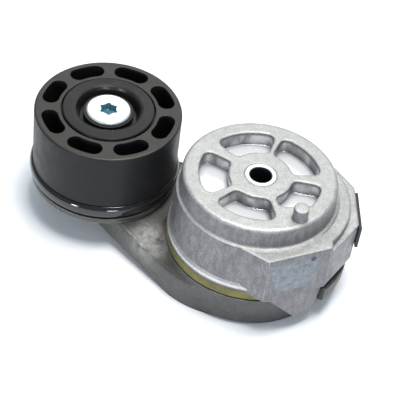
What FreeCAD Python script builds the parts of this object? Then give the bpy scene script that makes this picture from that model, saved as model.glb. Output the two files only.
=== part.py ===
import FreeCAD, Part
import Sketcher
import math
import os

# Automatic belt tensioner: a spring case that bolts to the engine, an arm that swings on it,
# and a flat idler pulley on the arm's far end.
# Frame: the origin is the middle of the mounting bore at the mounting face, +Z points out of
# that face, and the pulley lies towards -X. A "depth" counts down from the mounting face.
# Sizes are in millimetres and degrees.

SIZES = {
    # mounting bolt and pivot sleeve
    "centre_distance": 87.5,
    "bolt_bore_radius": 5.5,
    "bore_chamfer": 0.5,
    "sleeve_radius": 9.0,
    "spigot_radius": 8.0,
    "spigot_length": 4.0,
    "sleeve_depth": 61.8,
    "sleeve_tail_depth": 63.4,
    "fit_gap": 0.05,
    # spring case
    "drum_radius": 39.0,
    "drum_base_radius": 39.4,
    "drum_depth": 11.2,
    "drum_edge_round": 2.2,
    "drum_base_round": 1.4,
    "shoulder_radius": 41.0,
    "skirt_radius": 41.8,
    "lip_radius": 43.1,
    "lip_top_depth": 36.9,
    "lip_slope": 1.3,
    "case_depth": 39.5,
    "cavity_radius": 38.0,
    "roof_depth": 12.0,
    "case_hub_radius": 15.0,
    "case_hub_depth": 20.0,
    "hub_edge_chamfer": 0.3,
    "pocket_inner_radius": 16.2,
    "pocket_outer_radius": 30.6,
    "pocket_depth": 8.7,
    "pocket_draft": 5.0,
    "pocket_corner_round": 3.8,
    "pocket_edge_round": 0.8,
    "pocket_cut_radius": 23.2,
    "top_pocket_first": 102.0,
    "top_pocket_last": 163.0,
    "right_pocket_first": 34.0,
    "right_pocket_last": 94.5,
    "left_pocket_first": 179.0,
    "left_pocket_last": 239.0,
    "bottom_pocket_first": 250.5,
    "bottom_pocket_last": 311.0,
    "dowel_pocket_first": -38.5,
    "dowel_pocket_cut": -10.5,
    "dowel_pocket_last": 19.5,
    "dowel_x": 29.3,
    "dowel_y": 16.7,
    "dowel_radius": 3.75,
    "dowel_height": 7.5,
    "dowel_edge": 0.6,
    # side bulge and stop foot of the case
    "wall_middle_radius": 40.0,
    "front_start_angle": -75.4,
    "front_corner_angle": -56.3,
    "foot_radius": 48.6,
    "foot_inner_radius": 44.4,
    "foot_root_depth": 31.0,
    "foot_depth": 56.0,
    "foot_arc_end_angle": -22.0,
    "foot_right_top_angle": -15.2,
    "foot_left_top_angle": -52.0,
    "foot_left_bottom_angle": -33.0,
    "foot_right_bottom_angle": -20.5,
    "facet_distance": 46.3,
    "facet_lean": 4.6,
    "facet_angle": -40.0,
    "facet_half_width": 30.0,
    "facet_reach": 60.0,
    "facet_depth": 31.0,
    "side_corner_radius": 50.4,
    "side_corner_angle": -16.8,
    "ledge_radius": 47.2,
    "ledge_start_angle": -12.0,
    "ledge_end_angle": 54.0,
    "ledge_depth": 11.4,
    "ledge_fall_start": 14.0,
    "ledge_fall_end": 50.0,
    "ledge_fall_depth": 14.9,
    "bulge_depth": 16.0,
    "bulge_right_x": 51.6,
    "bulge_right_y": 11.4,
    "bulge_back_x": 39.1,
    "bulge_back_y": 34.5,
    "bulge_end_x": 24.5,
    "bulge_end_y": 42.4,
    "bulge_run_out_x": 8.0,
    "bulge_run_out_y": 40.8,
    "bulge_last_angle": 80.0,
    "bulge_corner_round": 3.0,
    "tang_slot_depth": 16.6,
    "tang_slot_start": 36.0,
    "tang_slot_reach": 46.8,
    "tang_slot_half_width": 3.7,
    "cut_reach": 60.0,
    "cut_span": 120.0,
    # torsion spring
    "wire_radius": 3.0,
    "coil_radius": 29.0,
    "coil_pitch": 6.35,
    "coil_turns": 5.0,
    "spring_top_depth": 20.5,
    "tang_reach": 46.0,
    "lower_tang_reach": 41.0,
    # damper ring and thrust washer
    "ring_radius": 43.4,
    "ring_skirt_radius": 36.2,
    "ring_skirt_depth": 26.0,
    "ring_depth": 44.7,
    "ring_edge": 0.4,
    "thrust_washer_radius": 15.0,
    "thrust_washer_depth": 21.7,
    "end_washer_radius": 15.4,
    # spring end clip
    "clip_thickness": 1.5,
    "clip_stand_off": 0.5,
    "clip_top_depth": 18.0,
    "clip_bottom_depth": 24.5,
    "clip_tail_depth": 31.5,
    "clip_tail_width": 0.2,
    "clip_start": -0.02,
    "clip_end": 0.95,
    "clip_root_width": 0.08,
    # arm
    "hub_top_depth": 45.0,
    "hub_depth": 64.0,
    "hub_radius": 43.8,
    "hub_base_radius": 43.2,
    "hub_edge": 1.5,
    "hub_cavity_radius": 37.5,
    "hub_floor_depth": 60.0,
    "tube_outer_radius": 15.5,
    "tube_inner_radius": 11.5,
    "tube_top_depth": 22.0,
    "washer_recess_radius": 16.0,
    "washer_recess_depth": 61.5,
    "web_hub_radius": 47.4,
    "web_blend_radius": 42.0,
    "web_blend_angle": -82.0,
    "web_end_radius": 20.3,
    "web_top_depth": 45.0,
    "web_valley_depth": 47.8,
    "web_valley_start": 64.0,
    "web_base_kink": 50.0,
    "web_base_kink_depth": 60.3,
    "web_base_start": 22.0,
    "web_base_end": 112.0,
    "web_base_end_depth": 51.0,
    "web_edge_round": 2.0,
    "web_corner_round": 45.0,
    "web_valley_round": 2.0,
    "plate_radius": 38.3,
    "plate_top_depth": 43.0,
    "plate_thickness": 2.8,
    "boss_radius": 11.6,
    "boss_top_depth": 30.4,
    "spigot_top_depth": 10.0,
    "pulley_spigot_radius": 8.45,
    "ear_start_angle": -14.6,
    "ear_end_angle": 25.0,
    "ear_radius": 51.0,
    "ear_wall": 2.2,
    "ear_top_depth": 43.4,
    "ear_base_depth": 52.7,
    "ear_floor_depth": 51.0,
    "ear_corner_round": 3.0,
    "ear_wall_angle": 2.6,
    "cup_slot_start": -6.5,
    "cup_slot_end": 7.5,
    "cup_slot_radius": 41.4,
    "cup_slot_depth": 55.6,
    "rib_pocket_depth": 50.5,
    "rib_pocket_start": 49.0,
    "rib_pocket_end": 71.0,
    "rib_half_width": 3.0,
    "rib_pocket_wide": 18.0,
    "rib_pocket_narrow": 16.0,
    # bushings and spring guide
    "bushing_split_depth": 41.0,
    "bushing_half_split": 1.5,
    "bushing_bottom_depth": 61.2,
    "guide_radius": 17.5,
    "guide_top_depth": 25.0,
    "guide_flange_radius": 31.0,
    "guide_flange_thickness": 4.4,
    # pulley
    "pulley_radius": 38.0,
    "pulley_top_depth": 1.35,
    "pulley_depth": 34.0,
    "pulley_edge_round": 1.2,
    "pulley_bore_radius": 23.5,
    "pulley_mouth_radius": 24.4,
    "pulley_mouth_depth": 4.2,
    "pulley_lip_radius": 22.3,
    "pulley_hub_depth": 32.2,
    "slot_inner_radius": 26.2,
    "slot_outer_radius": 34.8,
    "slot_count": 8.0,
    "slot_first_angle": 7.7,
    "slot_half_angle": 9.3,
    # bearing
    "bearing_top_depth": 7.2,
    "bearing_depth": 29.4,
    "inner_race_bore": 8.5,
    "inner_race_radius": 12.9,
    "inner_shoulder_radius": 13.4,
    "outer_shoulder_radius": 18.6,
    "ball_circle_radius": 16.0,
    "ball_radius": 3.75,
    "groove_radius": 4.05,
    "ball_count": 11.0,
    "row_spacing": 5.2,
    "cage_inner_radius": 14.9,
    "cage_outer_radius": 17.1,
    "cage_half_height": 4.4,
    "cage_hole_radius": 3.85,
    "cage_hole_reach": 20.0,
    "seal_inner_radius": 13.2,
    "seal_outer_radius": 19.6,
    "seal_inset": 0.4,
    "seal_thickness": 0.9,
    "snap_ring_radius": 24.4,
    "snap_ring_inner": 21.6,
    "snap_ring_thickness": 1.3,
    "snap_ring_half_gap": 9.0,
    # dust shields
    "shield_radius": 23.65,
    "shield_top_depth": 0.15,
    "shield_edge_depth": 0.55,
    "shield_crest_radius": 18.5,
    "shield_recess_radius": 16.2,
    "shield_floor_radius": 14.6,
    "shield_thickness": 1.0,
    "shield_recess_depth": 6.2,
    "rear_shield_radius": 39.5,
    "rear_shield_top_depth": 34.4,
    "rear_shield_depth": 42.2,
    "rear_shield_thickness": 1.2,
    "rear_shield_flat_radius": 36.2,
    "rear_shield_plate_depth": 35.6,
    "rear_shield_cone_radius": 27.0,
    "rear_shield_rim_round": 3.1,
    # pulley bolt
    "bolt_shank_radius": 5.0,
    "bolt_end_depth": 53.0,
    "bolt_head_radius": 11.4,
    "bolt_head_top_depth": 1.0,
    "bolt_head_seat_depth": 2.4,
    "bolt_neck_radius": 7.0,
    "bolt_head_edge": 0.7,
    "socket_lobe_radius": 1.15,
    "socket_lobe_circle": 3.6,
    "socket_core_radius": 3.9,
    "socket_depth": 4.4,
    "bolt_washer_radius": 12.9,
}

POCKETS = ("top", "right", "left", "bottom")

document = FreeCAD.newDocument("belt_tensioner")
sheet = document.addObject("Spreadsheet::Sheet", "sizes")


class Size:
    """A number that remembers the spreadsheet expression it comes from."""

    def __init__(self, value, text):
        self.value = value
        self.text = text

    def __add__(self, other):
        other = as_size(other)
        return Size(self.value + other.value, "(%s + %s)" % (self.text, other.text))

    def __sub__(self, other):
        other = as_size(other)
        return Size(self.value - other.value, "(%s - %s)" % (self.text, other.text))

    def __mul__(self, other):
        other = as_size(other)
        return Size(self.value * other.value, "(%s * %s)" % (self.text, other.text))

    def __truediv__(self, other):
        other = as_size(other)
        return Size(self.value / other.value, "(%s / %s)" % (self.text, other.text))

    def __neg__(self):
        return Size(-self.value, "(-1 * %s)" % self.text)


def as_size(number):
    if isinstance(number, Size):
        return number
    return Size(float(number), repr(float(number)))


def cosine(angle):
    angle = as_size(angle)
    return Size(math.cos(math.radians(angle.value)), "cos(%s)" % angle.text)


def sine(angle):
    angle = as_size(angle)
    return Size(math.sin(math.radians(angle.value)), "sin(%s)" % angle.text)


def square_root(number):
    return Size(math.sqrt(number.value), "sqrt(%s)" % number.text)


def polar(radius, angle):
    """The point at a radius and angle round the pivot."""
    return radius * cosine(angle), radius * sine(angle)


def fill_sheet():
    for row, (name, value) in enumerate(SIZES.items(), start=1):
        sheet.set("A%d" % row, name)
        sheet.set("B%d" % row, str(value))
        sheet.setAlias("B%d" % row, name)
    document.recompute()


def size(name):
    return Size(SIZES[name], "sizes." + name)


def new_body(name):
    body = document.addObject("PartDesign::Body", name)
    body.Label = name
    return body


def origin_plane(body, role):
    for feature in body.Origin.OriginFeatures:
        if feature.Role == role:
            return feature
    raise ValueError(role)


def new_sketch(body, name, role, height=None, at_pulley=False):
    """A sketch on one of the body's own planes, with its origin on the pivot or pulley axis."""
    sketch = body.newObject("Sketcher::SketchObject", name)
    sketch.AttachmentSupport = (origin_plane(body, role), [""])
    sketch.MapMode = "FlatFace"
    offset = FreeCAD.Vector(0, 0, 0)
    if height is not None:
        offset.z = height.value
    if at_pulley:
        offset.x = -SIZES["centre_distance"]
    sketch.AttachmentOffset = FreeCAD.Placement(offset, FreeCAD.Rotation())
    if height is not None:
        sketch.setExpression("AttachmentOffset.Base.z", height.text)
    if at_pulley:
        sketch.setExpression("AttachmentOffset.Base.x", "-1 * sizes.centre_distance")
    return sketch


def pin_down(sketch, kind, element, point, distance):
    """Hold one coordinate of a sketch point at a signed distance from the sketch's origin."""
    if abs(distance.value) < 1e-9:
        axis = -2 if kind == "DistanceX" else -1
        sketch.addConstraint(Sketcher.Constraint("PointOnObject", element, point, axis))
        return
    if distance.value > 0:
        constraint = Sketcher.Constraint(kind, -1, 1, element, point, distance.value)
        expression = distance.text
    else:
        constraint = Sketcher.Constraint(kind, element, point, -1, 1, -distance.value)
        expression = "-1 * " + distance.text
    index = sketch.addConstraint(constraint)
    sketch.setExpression("Constraints[%d]" % index, expression)


def draw_outline(sketch, corners, arcs=None):
    """Close a chain of corners; arcs maps a corner's number to the (radius, centre, turn) of
    the arc that starts there, all other sides are straight."""
    arcs = arcs or {}
    count = len(corners)
    points = []
    for x, y in corners:
        points.append(FreeCAD.Vector(as_size(x).value, as_size(y).value, 0))
    first = sketch.GeometryCount
    start_of = {}
    end_of = {}
    for i in range(count):
        start = points[i]
        end = points[(i + 1) % count]
        if i in arcs:
            radius, centre, turn = arcs[i]
            middle = FreeCAD.Vector(centre[0].value, centre[1].value, 0)
            begin, finish = (start, end) if turn > 0 else (end, start)
            angle_a = math.atan2(begin.y - middle.y, begin.x - middle.x)
            angle_b = math.atan2(finish.y - middle.y, finish.x - middle.x)
            circle = Part.Circle(middle, FreeCAD.Vector(0, 0, 1), radius.value)
            sketch.addGeometry(Part.ArcOfCircle(circle, angle_a, angle_b), False)
            start_of[i], end_of[i] = (1, 2) if turn > 0 else (2, 1)
        else:
            sketch.addGeometry(Part.LineSegment(start, end), False)
            start_of[i], end_of[i] = 1, 2
    for i in range(count):
        following = (i + 1) % count
        sketch.addConstraint(Sketcher.Constraint(
            "Coincident", first + i, end_of[i], first + following, start_of[following]))
    for i in range(count):
        pin_down(sketch, "DistanceX", first + i, start_of[i], as_size(corners[i][0]))
        pin_down(sketch, "DistanceY", first + i, start_of[i], as_size(corners[i][1]))
    for i, (radius, centre, _) in arcs.items():
        chord = points[i].distanceToPoint(points[(i + 1) % count])
        if abs(chord - 2 * radius.value) < 1e-6:
            # A half circle's radius leaves its centre loose, so the centre is held instead.
            pin_down(sketch, "DistanceY", first + i, 3, centre[1])
            continue
        index = sketch.addConstraint(Sketcher.Constraint("Radius", first + i, radius.value))
        sketch.setExpression("Constraints[%d]" % index, radius.text)


def draw_circle(sketch, x, y, radius):
    x = as_size(x)
    y = as_size(y)
    number = sketch.GeometryCount
    middle = FreeCAD.Vector(x.value, y.value, 0)
    sketch.addGeometry(Part.Circle(middle, FreeCAD.Vector(0, 0, 1), radius.value), False)
    pin_down(sketch, "DistanceX", number, 3, x)
    pin_down(sketch, "DistanceY", number, 3, y)
    index = sketch.addConstraint(Sketcher.Constraint("Radius", number, radius.value))
    sketch.setExpression("Constraints[%d]" % index, radius.text)


ORIGIN = (as_size(0), as_size(0))


def draw_sector(sketch, inner, outer, first, last):
    """A piece of a ring round the pivot between two radii and two angles."""
    corners = [polar(inner, first), polar(outer, first), polar(outer, last), polar(inner, last)]
    draw_outline(sketch, corners, {1: (outer, ORIGIN, 1), 3: (inner, ORIGIN, -1)})


def turn(body, name, corners, arcs=None, remove=False, at_pulley=False):
    """Turn an outline of (radius, depth) corners round a vertical axis, adding or removing it."""
    sketch = new_sketch(body, name + "_profile", "XZ_Plane", at_pulley=at_pulley)
    draw_outline(sketch, [(radius, -depth) for radius, depth in corners], arcs)
    kind = "PartDesign::Groove" if remove else "PartDesign::Revolution"
    feature = body.newObject(kind, name)
    feature.Profile = sketch
    feature.ReferenceAxis = (sketch, ["V_Axis"])
    feature.Angle = 360
    body.Tip = feature
    return feature


def pad(body, name, sketch, length, taper=None):
    feature = body.newObject("PartDesign::Pad", name)
    feature.Profile = sketch
    feature.Length = length.value
    feature.setExpression("Length", length.text)
    if taper is not None:
        feature.TaperAngle = taper.value
        feature.setExpression("TaperAngle", taper.text)
    body.Tip = feature
    return feature


def pocket(body, name, sketch, depth, taper=None):
    feature = body.newObject("PartDesign::Pocket", name)
    feature.Profile = sketch
    feature.Length = depth.value
    feature.setExpression("Length", depth.text)
    if taper is not None:
        feature.TaperAngle = taper.value
        feature.setExpression("TaperAngle", taper.text)
    body.Tip = feature
    return feature


def round_edges(body, name, radius, wanted, kind="PartDesign::Fillet"):
    """Round or chamfer every edge of the body that the wanted(edge) test accepts."""
    document.recompute()
    base = body.Tip
    edges = []
    for number, edge in enumerate(base.Shape.Edges, start=1):
        if wanted(edge):
            edges.append("Edge%d" % number)
    feature = body.newObject(kind, name)
    feature.Base = (base, edges)
    where = "Radius" if kind == "PartDesign::Fillet" else "Size"
    setattr(feature, where, radius.value)
    feature.setExpression(where, radius.text)
    body.Tip = feature
    return feature


def is_circle(edge, radius, height, slack=0.05):
    """True for an edge that is a level circle or arc of this radius at this height."""
    curve = edge.Curve
    if not hasattr(curve, "Radius"):
        return False
    level = abs(edge.CenterOfMass.z - height) < 0.05 and edge.BoundBox.ZLength < 0.05
    return level and abs(curve.Radius - radius) < slack


def stands_up(edge, low, high, inner, outer):
    """True for an edge running from low to high whose middle lies between two radii."""
    box = edge.BoundBox
    middle = edge.CenterOfMass
    distance = math.hypot(middle.x, middle.y)
    spans = box.ZMin < low + 0.1 and box.ZMax > high - 0.1
    return spans and inner < distance < outer


def make_case():
    """Cast drum with its cavity, pockets, dowel pin, side bulge and stop foot."""
    body = new_body("spring_case")
    add_ledge(body)
    add_side_bulge(body)
    add_foot(body)
    add_drum(body)
    cut_tang_slot(body)
    cut_pockets(body)
    add_dowel(body)
    round_case(body)


def add_ledge(body):
    """The block under the ledge, its top falling away towards the back."""
    sketch = new_sketch(body, "ledge_outline", "XY_Plane", -size("case_depth"))
    wall = size("wall_middle_radius")
    foot = size("foot_radius")
    ledge = size("ledge_radius")
    corners = [
        polar(wall, size("front_start_angle")),
        polar(size("shoulder_radius"), size("front_start_angle")),
        polar(foot, size("front_corner_angle")),
        polar(foot, size("foot_arc_end_angle")),
        polar(size("side_corner_radius"), size("side_corner_angle")),
        polar(ledge, size("ledge_start_angle")),
        polar(ledge, size("ledge_end_angle")),
        polar(wall, size("ledge_end_angle")),
    ]
    arcs = {2: (foot, ORIGIN, 1), 5: (ledge, ORIGIN, 1), 7: (wall, ORIGIN, -1)}
    draw_outline(sketch, corners, arcs)
    pad(body, "ledge_block", sketch, size("case_depth") - size("ledge_depth"))
    slope = new_sketch(body, "ledge_slope", "YZ_Plane", size("cut_reach"))
    draw_outline(slope, [
        (-size("ledge_fall_start"), -size("ledge_depth")),
        (size("ledge_fall_end"), -size("ledge_fall_depth")),
        (size("ledge_fall_end"), -size("spigot_length")),
        (-size("ledge_fall_start"), -size("spigot_length")),
    ])
    pocket(body, "ledge_fall", slope, size("cut_reach"))


def add_side_bulge(body):
    """The lower many-sided block on the right that holds the spring's upper end."""
    sketch = new_sketch(body, "side_bulge_outline", "XY_Plane", -size("case_depth"))
    wall = size("wall_middle_radius")
    corners = [
        polar(wall, size("side_corner_angle")),
        polar(size("side_corner_radius"), size("side_corner_angle")),
        (size("bulge_right_x"), size("bulge_right_y")),
        (size("bulge_back_x"), size("bulge_back_y")),
        (size("bulge_end_x"), size("bulge_end_y")),
        (size("bulge_run_out_x"), size("bulge_run_out_y")),
        polar(wall, size("bulge_last_angle")),
    ]
    draw_outline(sketch, corners, {6: (wall, ORIGIN, -1)})
    pad(body, "side_bulge", sketch, size("case_depth") - size("bulge_depth"))
    top = -SIZES["bulge_depth"]
    round_edges(body, "bulge_corners", size("bulge_corner_round"),
                lambda edge: stands_up(edge, -SIZES["case_depth"], top, 51.0, 54.0))


def add_foot(body):
    """The stop foot that reaches down outside the arm, and the leaning facet above it."""
    sketch = new_sketch(body, "foot_outline", "XY_Plane", -size("foot_depth"))
    draw_sector(sketch, size("foot_inner_radius"), size("foot_radius"),
                size("foot_left_top_angle"), size("foot_right_top_angle"))
    pad(body, "foot", sketch, size("foot_depth") - size("foot_root_depth"))
    for side, beyond in (("left", -size("cut_reach")), ("right", as_size(0))):
        cut = new_sketch(body, "foot_%s_cut" % side, "YZ_Plane", size("cut_reach"))
        top_y = polar(size("foot_radius"), size("foot_%s_top_angle" % side))[1]
        bottom_y = polar(size("foot_radius"), size("foot_%s_bottom_angle" % side))[1]
        draw_outline(cut, [
            (top_y, -size("case_depth")),
            (bottom_y, -size("foot_depth")),
            (beyond, -size("foot_depth")),
            (beyond, -size("case_depth")),
        ])
        pocket(body, "foot_%s_side" % side, cut, size("cut_reach"))
    facet = new_sketch(body, "facet_cut", "XY_Plane", -size("drum_depth"))
    out_x, out_y = polar(size("facet_distance"), size("facet_angle"))
    far_x, far_y = polar(size("facet_reach"), size("facet_angle"))
    along_x, along_y = polar(size("facet_half_width"), size("facet_angle") + 90)
    draw_outline(facet, [
        (out_x - along_x, out_y - along_y),
        (far_x - along_x, far_y - along_y),
        (far_x + along_x, far_y + along_y),
        (out_x + along_x, out_y + along_y),
    ])
    pocket(body, "facet", facet, size("facet_depth"), -size("facet_lean"))


def add_drum(body):
    """The round part: drum, shoulder, skirt and lip outside, spring cavity and hub inside."""
    zero = as_size(0)
    spigot_hole = size("spigot_radius") + size("fit_gap")
    turn(body, "drum", [
        (spigot_hole, zero),
        (size("drum_radius"), zero),
        (size("drum_base_radius"), size("drum_depth")),
        (size("shoulder_radius"), size("drum_depth")),
        (size("skirt_radius"), size("lip_top_depth") - size("lip_slope")),
        (size("lip_radius"), size("lip_top_depth")),
        (size("lip_radius"), size("case_depth")),
        (size("cavity_radius"), size("case_depth")),
        (size("cavity_radius"), size("roof_depth")),
        (size("case_hub_radius"), size("roof_depth")),
        (size("case_hub_radius"), size("case_hub_depth")),
        (size("sleeve_radius"), size("case_hub_depth")),
        (size("sleeve_radius"), size("spigot_length")),
        (spigot_hole, size("spigot_length")),
    ])


def cut_tang_slot(body):
    """The slot in the bulge that takes the spring's upper end, open at the bottom."""
    sketch = new_sketch(body, "tang_slot_outline", "XY_Plane", -size("tang_slot_depth"))
    half = size("tang_slot_half_width")
    draw_outline(sketch, [
        (size("tang_slot_start"), -half),
        (size("tang_slot_reach"), -half),
        (size("tang_slot_reach"), half),
        (size("tang_slot_start"), half),
    ])
    pocket(body, "tang_slot", sketch, size("case_depth"))


def cut_pockets(body):
    """The five casting pockets in the mounting face."""
    inner = size("pocket_inner_radius")
    outer = size("pocket_outer_radius")
    for name in POCKETS:
        sketch = new_sketch(body, name + "_pocket_outline", "XY_Plane")
        draw_sector(sketch, inner, outer, size(name + "_pocket_first"), size(name + "_pocket_last"))
        pocket(body, name + "_pocket", sketch, size("pocket_depth"), size("pocket_draft"))
    sketch = new_sketch(body, "dowel_pocket_outline", "XY_Plane")
    corners = [
        polar(inner, size("dowel_pocket_first")),
        polar(size("pocket_cut_radius"), size("dowel_pocket_first")),
        polar(outer, size("dowel_pocket_cut")),
        polar(outer, size("dowel_pocket_last")),
        polar(inner, size("dowel_pocket_last")),
    ]
    draw_outline(sketch, corners, {2: (outer, ORIGIN, 1), 4: (inner, ORIGIN, -1)})
    pocket(body, "dowel_pocket", sketch, size("pocket_depth"), size("pocket_draft"))


def add_dowel(body):
    """The locating pin cast on the mounting face."""
    sketch = new_sketch(body, "dowel_outline", "XY_Plane")
    draw_circle(sketch, size("dowel_x"), -size("dowel_y"), size("dowel_radius"))
    pad(body, "dowel", sketch, size("dowel_height"))


def is_pocket_edge(edge):
    """True for an edge in the mounting face that bounds a casting pocket."""
    middle = edge.CenterOfMass
    away = math.hypot(middle.x, middle.y)
    level = abs(middle.z) < 0.01 and edge.BoundBox.ZLength < 0.01
    dowel = is_circle(edge, SIZES["dowel_radius"], 0.0)
    return level and 14.0 < away < 33.0 and not dowel


def round_case(body):
    """Casting radii."""
    low = -SIZES["pocket_depth"]
    round_edges(body, "pocket_corners", size("pocket_corner_round"),
                lambda edge: stands_up(edge, low, 0.0, 14.0, 32.0))
    round_edges(body, "pocket_edges", size("pocket_edge_round"),
                lambda edge: is_pocket_edge(edge))
    round_edges(body, "drum_edge", size("drum_edge_round"),
                lambda edge: is_circle(edge, SIZES["drum_radius"], 0.0))
    round_edges(body, "drum_base", size("drum_base_round"),
                lambda edge: is_circle(edge, SIZES["drum_base_radius"], -SIZES["drum_depth"]))
    round_edges(body, "dowel_edge", size("dowel_edge"),
                lambda edge: is_circle(edge, SIZES["dowel_radius"], SIZES["dowel_height"]))


def make_turned(name, corners, arcs=None, at_pulley=False):
    """A plain turned part."""
    body = new_body(name)
    turn(body, name + "_turning", corners, arcs, at_pulley=at_pulley)
    return body


def make_ring(name, inner, outer, top, bottom, at_pulley=False):
    """A turned ring with a rectangular section."""
    corners = [(inner, top), (outer, top), (outer, bottom), (inner, bottom)]
    return make_turned(name, corners, at_pulley=at_pulley)


def make_sleeve():
    """Stepped steel tube; its bore takes the mounting bolt, its tail holds the end washer."""
    bore = size("bolt_bore_radius")
    bevel = size("bore_chamfer")
    make_turned("pivot_sleeve", [
        (bore + bevel, as_size(0)),
        (size("spigot_radius") - size("hub_edge_chamfer"), as_size(0)),
        (size("spigot_radius"), size("hub_edge_chamfer")),
        (size("spigot_radius"), size("spigot_length")),
        (size("sleeve_radius"), size("spigot_length")),
        (size("sleeve_radius"), size("sleeve_depth")),
        (size("spigot_radius"), size("sleeve_depth")),
        (size("spigot_radius"), size("sleeve_tail_depth")),
        (bore + bevel, size("sleeve_tail_depth")),
        (bore, size("sleeve_tail_depth") - bevel),
        (bore, bevel),
    ])
    make_ring("thrust_washer", size("sleeve_radius") + size("fit_gap"),
              size("thrust_washer_radius"), size("case_hub_depth"), size("thrust_washer_depth"))
    make_ring("pivot_end_washer", size("spigot_radius"), size("end_washer_radius"),
              size("sleeve_depth"), size("sleeve_tail_depth"))


def make_damper_ring():
    """Plastic ring between the case lip and the arm, with a skirt up inside the case."""
    edge = size("ring_edge")
    make_turned("damper_ring", [
        (size("ring_skirt_radius"), size("ring_skirt_depth")),
        (size("cavity_radius"), size("ring_skirt_depth")),
        (size("cavity_radius"), size("case_depth")),
        (size("ring_radius") - edge, size("case_depth")),
        (size("ring_radius"), size("case_depth") + edge),
        (size("ring_radius"), size("ring_depth") - edge),
        (size("ring_radius") - edge, size("ring_depth")),
        (size("ring_skirt_radius"), size("ring_depth")),
    ])


def make_spring():
    """Round-wire torsion spring with a straight radial tang at each end."""
    body = new_body("torsion_spring")
    height = size("coil_pitch") * size("coil_turns")
    lower = -(size("spring_top_depth") + height)
    section = new_sketch(body, "wire_section", "XZ_Plane")
    draw_circle(section, size("coil_radius"), lower, size("wire_radius"))
    coil = body.newObject("PartDesign::AdditiveHelix", "coil")
    coil.Profile = section
    coil.ReferenceAxis = (section, ["V_Axis"])
    coil.Mode = 0
    coil.Pitch = SIZES["coil_pitch"]
    coil.Height = height.value
    coil.setExpression("Pitch", "sizes.coil_pitch")
    coil.setExpression("Height", height.text)
    body.Tip = coil
    for name, height, reach in (("lower_tang", lower, size("lower_tang_reach")),
                                ("upper_tang", -size("spring_top_depth"), size("tang_reach"))):
        tang = new_sketch(body, name + "_section", "YZ_Plane", size("coil_radius"))
        draw_circle(tang, as_size(0), height, size("wire_radius"))
        pad(body, name, tang, reach - size("coil_radius"))


def make_clip():
    """Thin black strip that follows the case's back facet, with a tail turned down."""
    body = new_body("spring_end_clip")
    facet_x = size("bulge_right_x") - size("bulge_back_x")
    facet_y = size("bulge_back_y") - size("bulge_right_y")
    facet_length = square_root(facet_x * facet_x + facet_y * facet_y)
    out_x = facet_y / facet_length
    out_y = facet_x / facet_length
    near = size("clip_stand_off")
    far = near + size("clip_thickness")
    start_x = size("bulge_right_x") - facet_x * size("clip_start")
    start_y = size("bulge_right_y") + facet_y * size("clip_start")
    end_x = size("bulge_right_x") - facet_x * size("clip_end")
    end_y = size("bulge_right_y") + facet_y * size("clip_end")
    sketch = new_sketch(body, "clip_outline", "XY_Plane", -size("clip_bottom_depth"))
    draw_outline(sketch, [
        (start_x + out_x * near, start_y + out_y * near),
        (start_x + out_x * far, start_y + out_y * far),
        (end_x + out_x * far, end_y + out_y * far),
        (end_x, end_y),
        (end_x + facet_x * size("clip_root_width"), end_y - facet_y * size("clip_root_width")),
        (end_x + out_x * near + facet_x * size("clip_root_width"),
         end_y + out_y * near - facet_y * size("clip_root_width")),
    ])
    pad(body, "clip_strip", sketch, size("clip_bottom_depth") - size("clip_top_depth"))
    tail = new_sketch(body, "clip_tail_outline", "XY_Plane", -size("clip_tail_depth"))
    tail_x = start_x - facet_x * size("clip_tail_width")
    tail_y = start_y + facet_y * size("clip_tail_width")
    draw_outline(tail, [
        (start_x + out_x * near, start_y + out_y * near),
        (start_x + out_x * far, start_y + out_y * far),
        (tail_x + out_x * far, tail_y + out_y * far),
        (tail_x + out_x * near, tail_y + out_y * near),
    ])
    pad(body, "clip_tail", tail, size("clip_tail_depth") - size("clip_top_depth"))


def make_arm():
    """Cast arm: web, hub cup with centre tube, ear, end plate and pulley boss."""
    body = new_body("tensioner_arm")
    add_web(body)
    add_hub(body)
    add_ear(body)
    add_plate_and_boss(body)
    cut_underside(body)


def web_corner(radius, side):
    """Where the web's straight side leaves a circle; the side touches hub and end circles."""
    lean = (size("web_hub_radius") - size("web_end_radius")) / size("centre_distance")
    upright = square_root(as_size(1) - lean * lean)
    return -radius * lean, radius * upright * side


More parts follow.
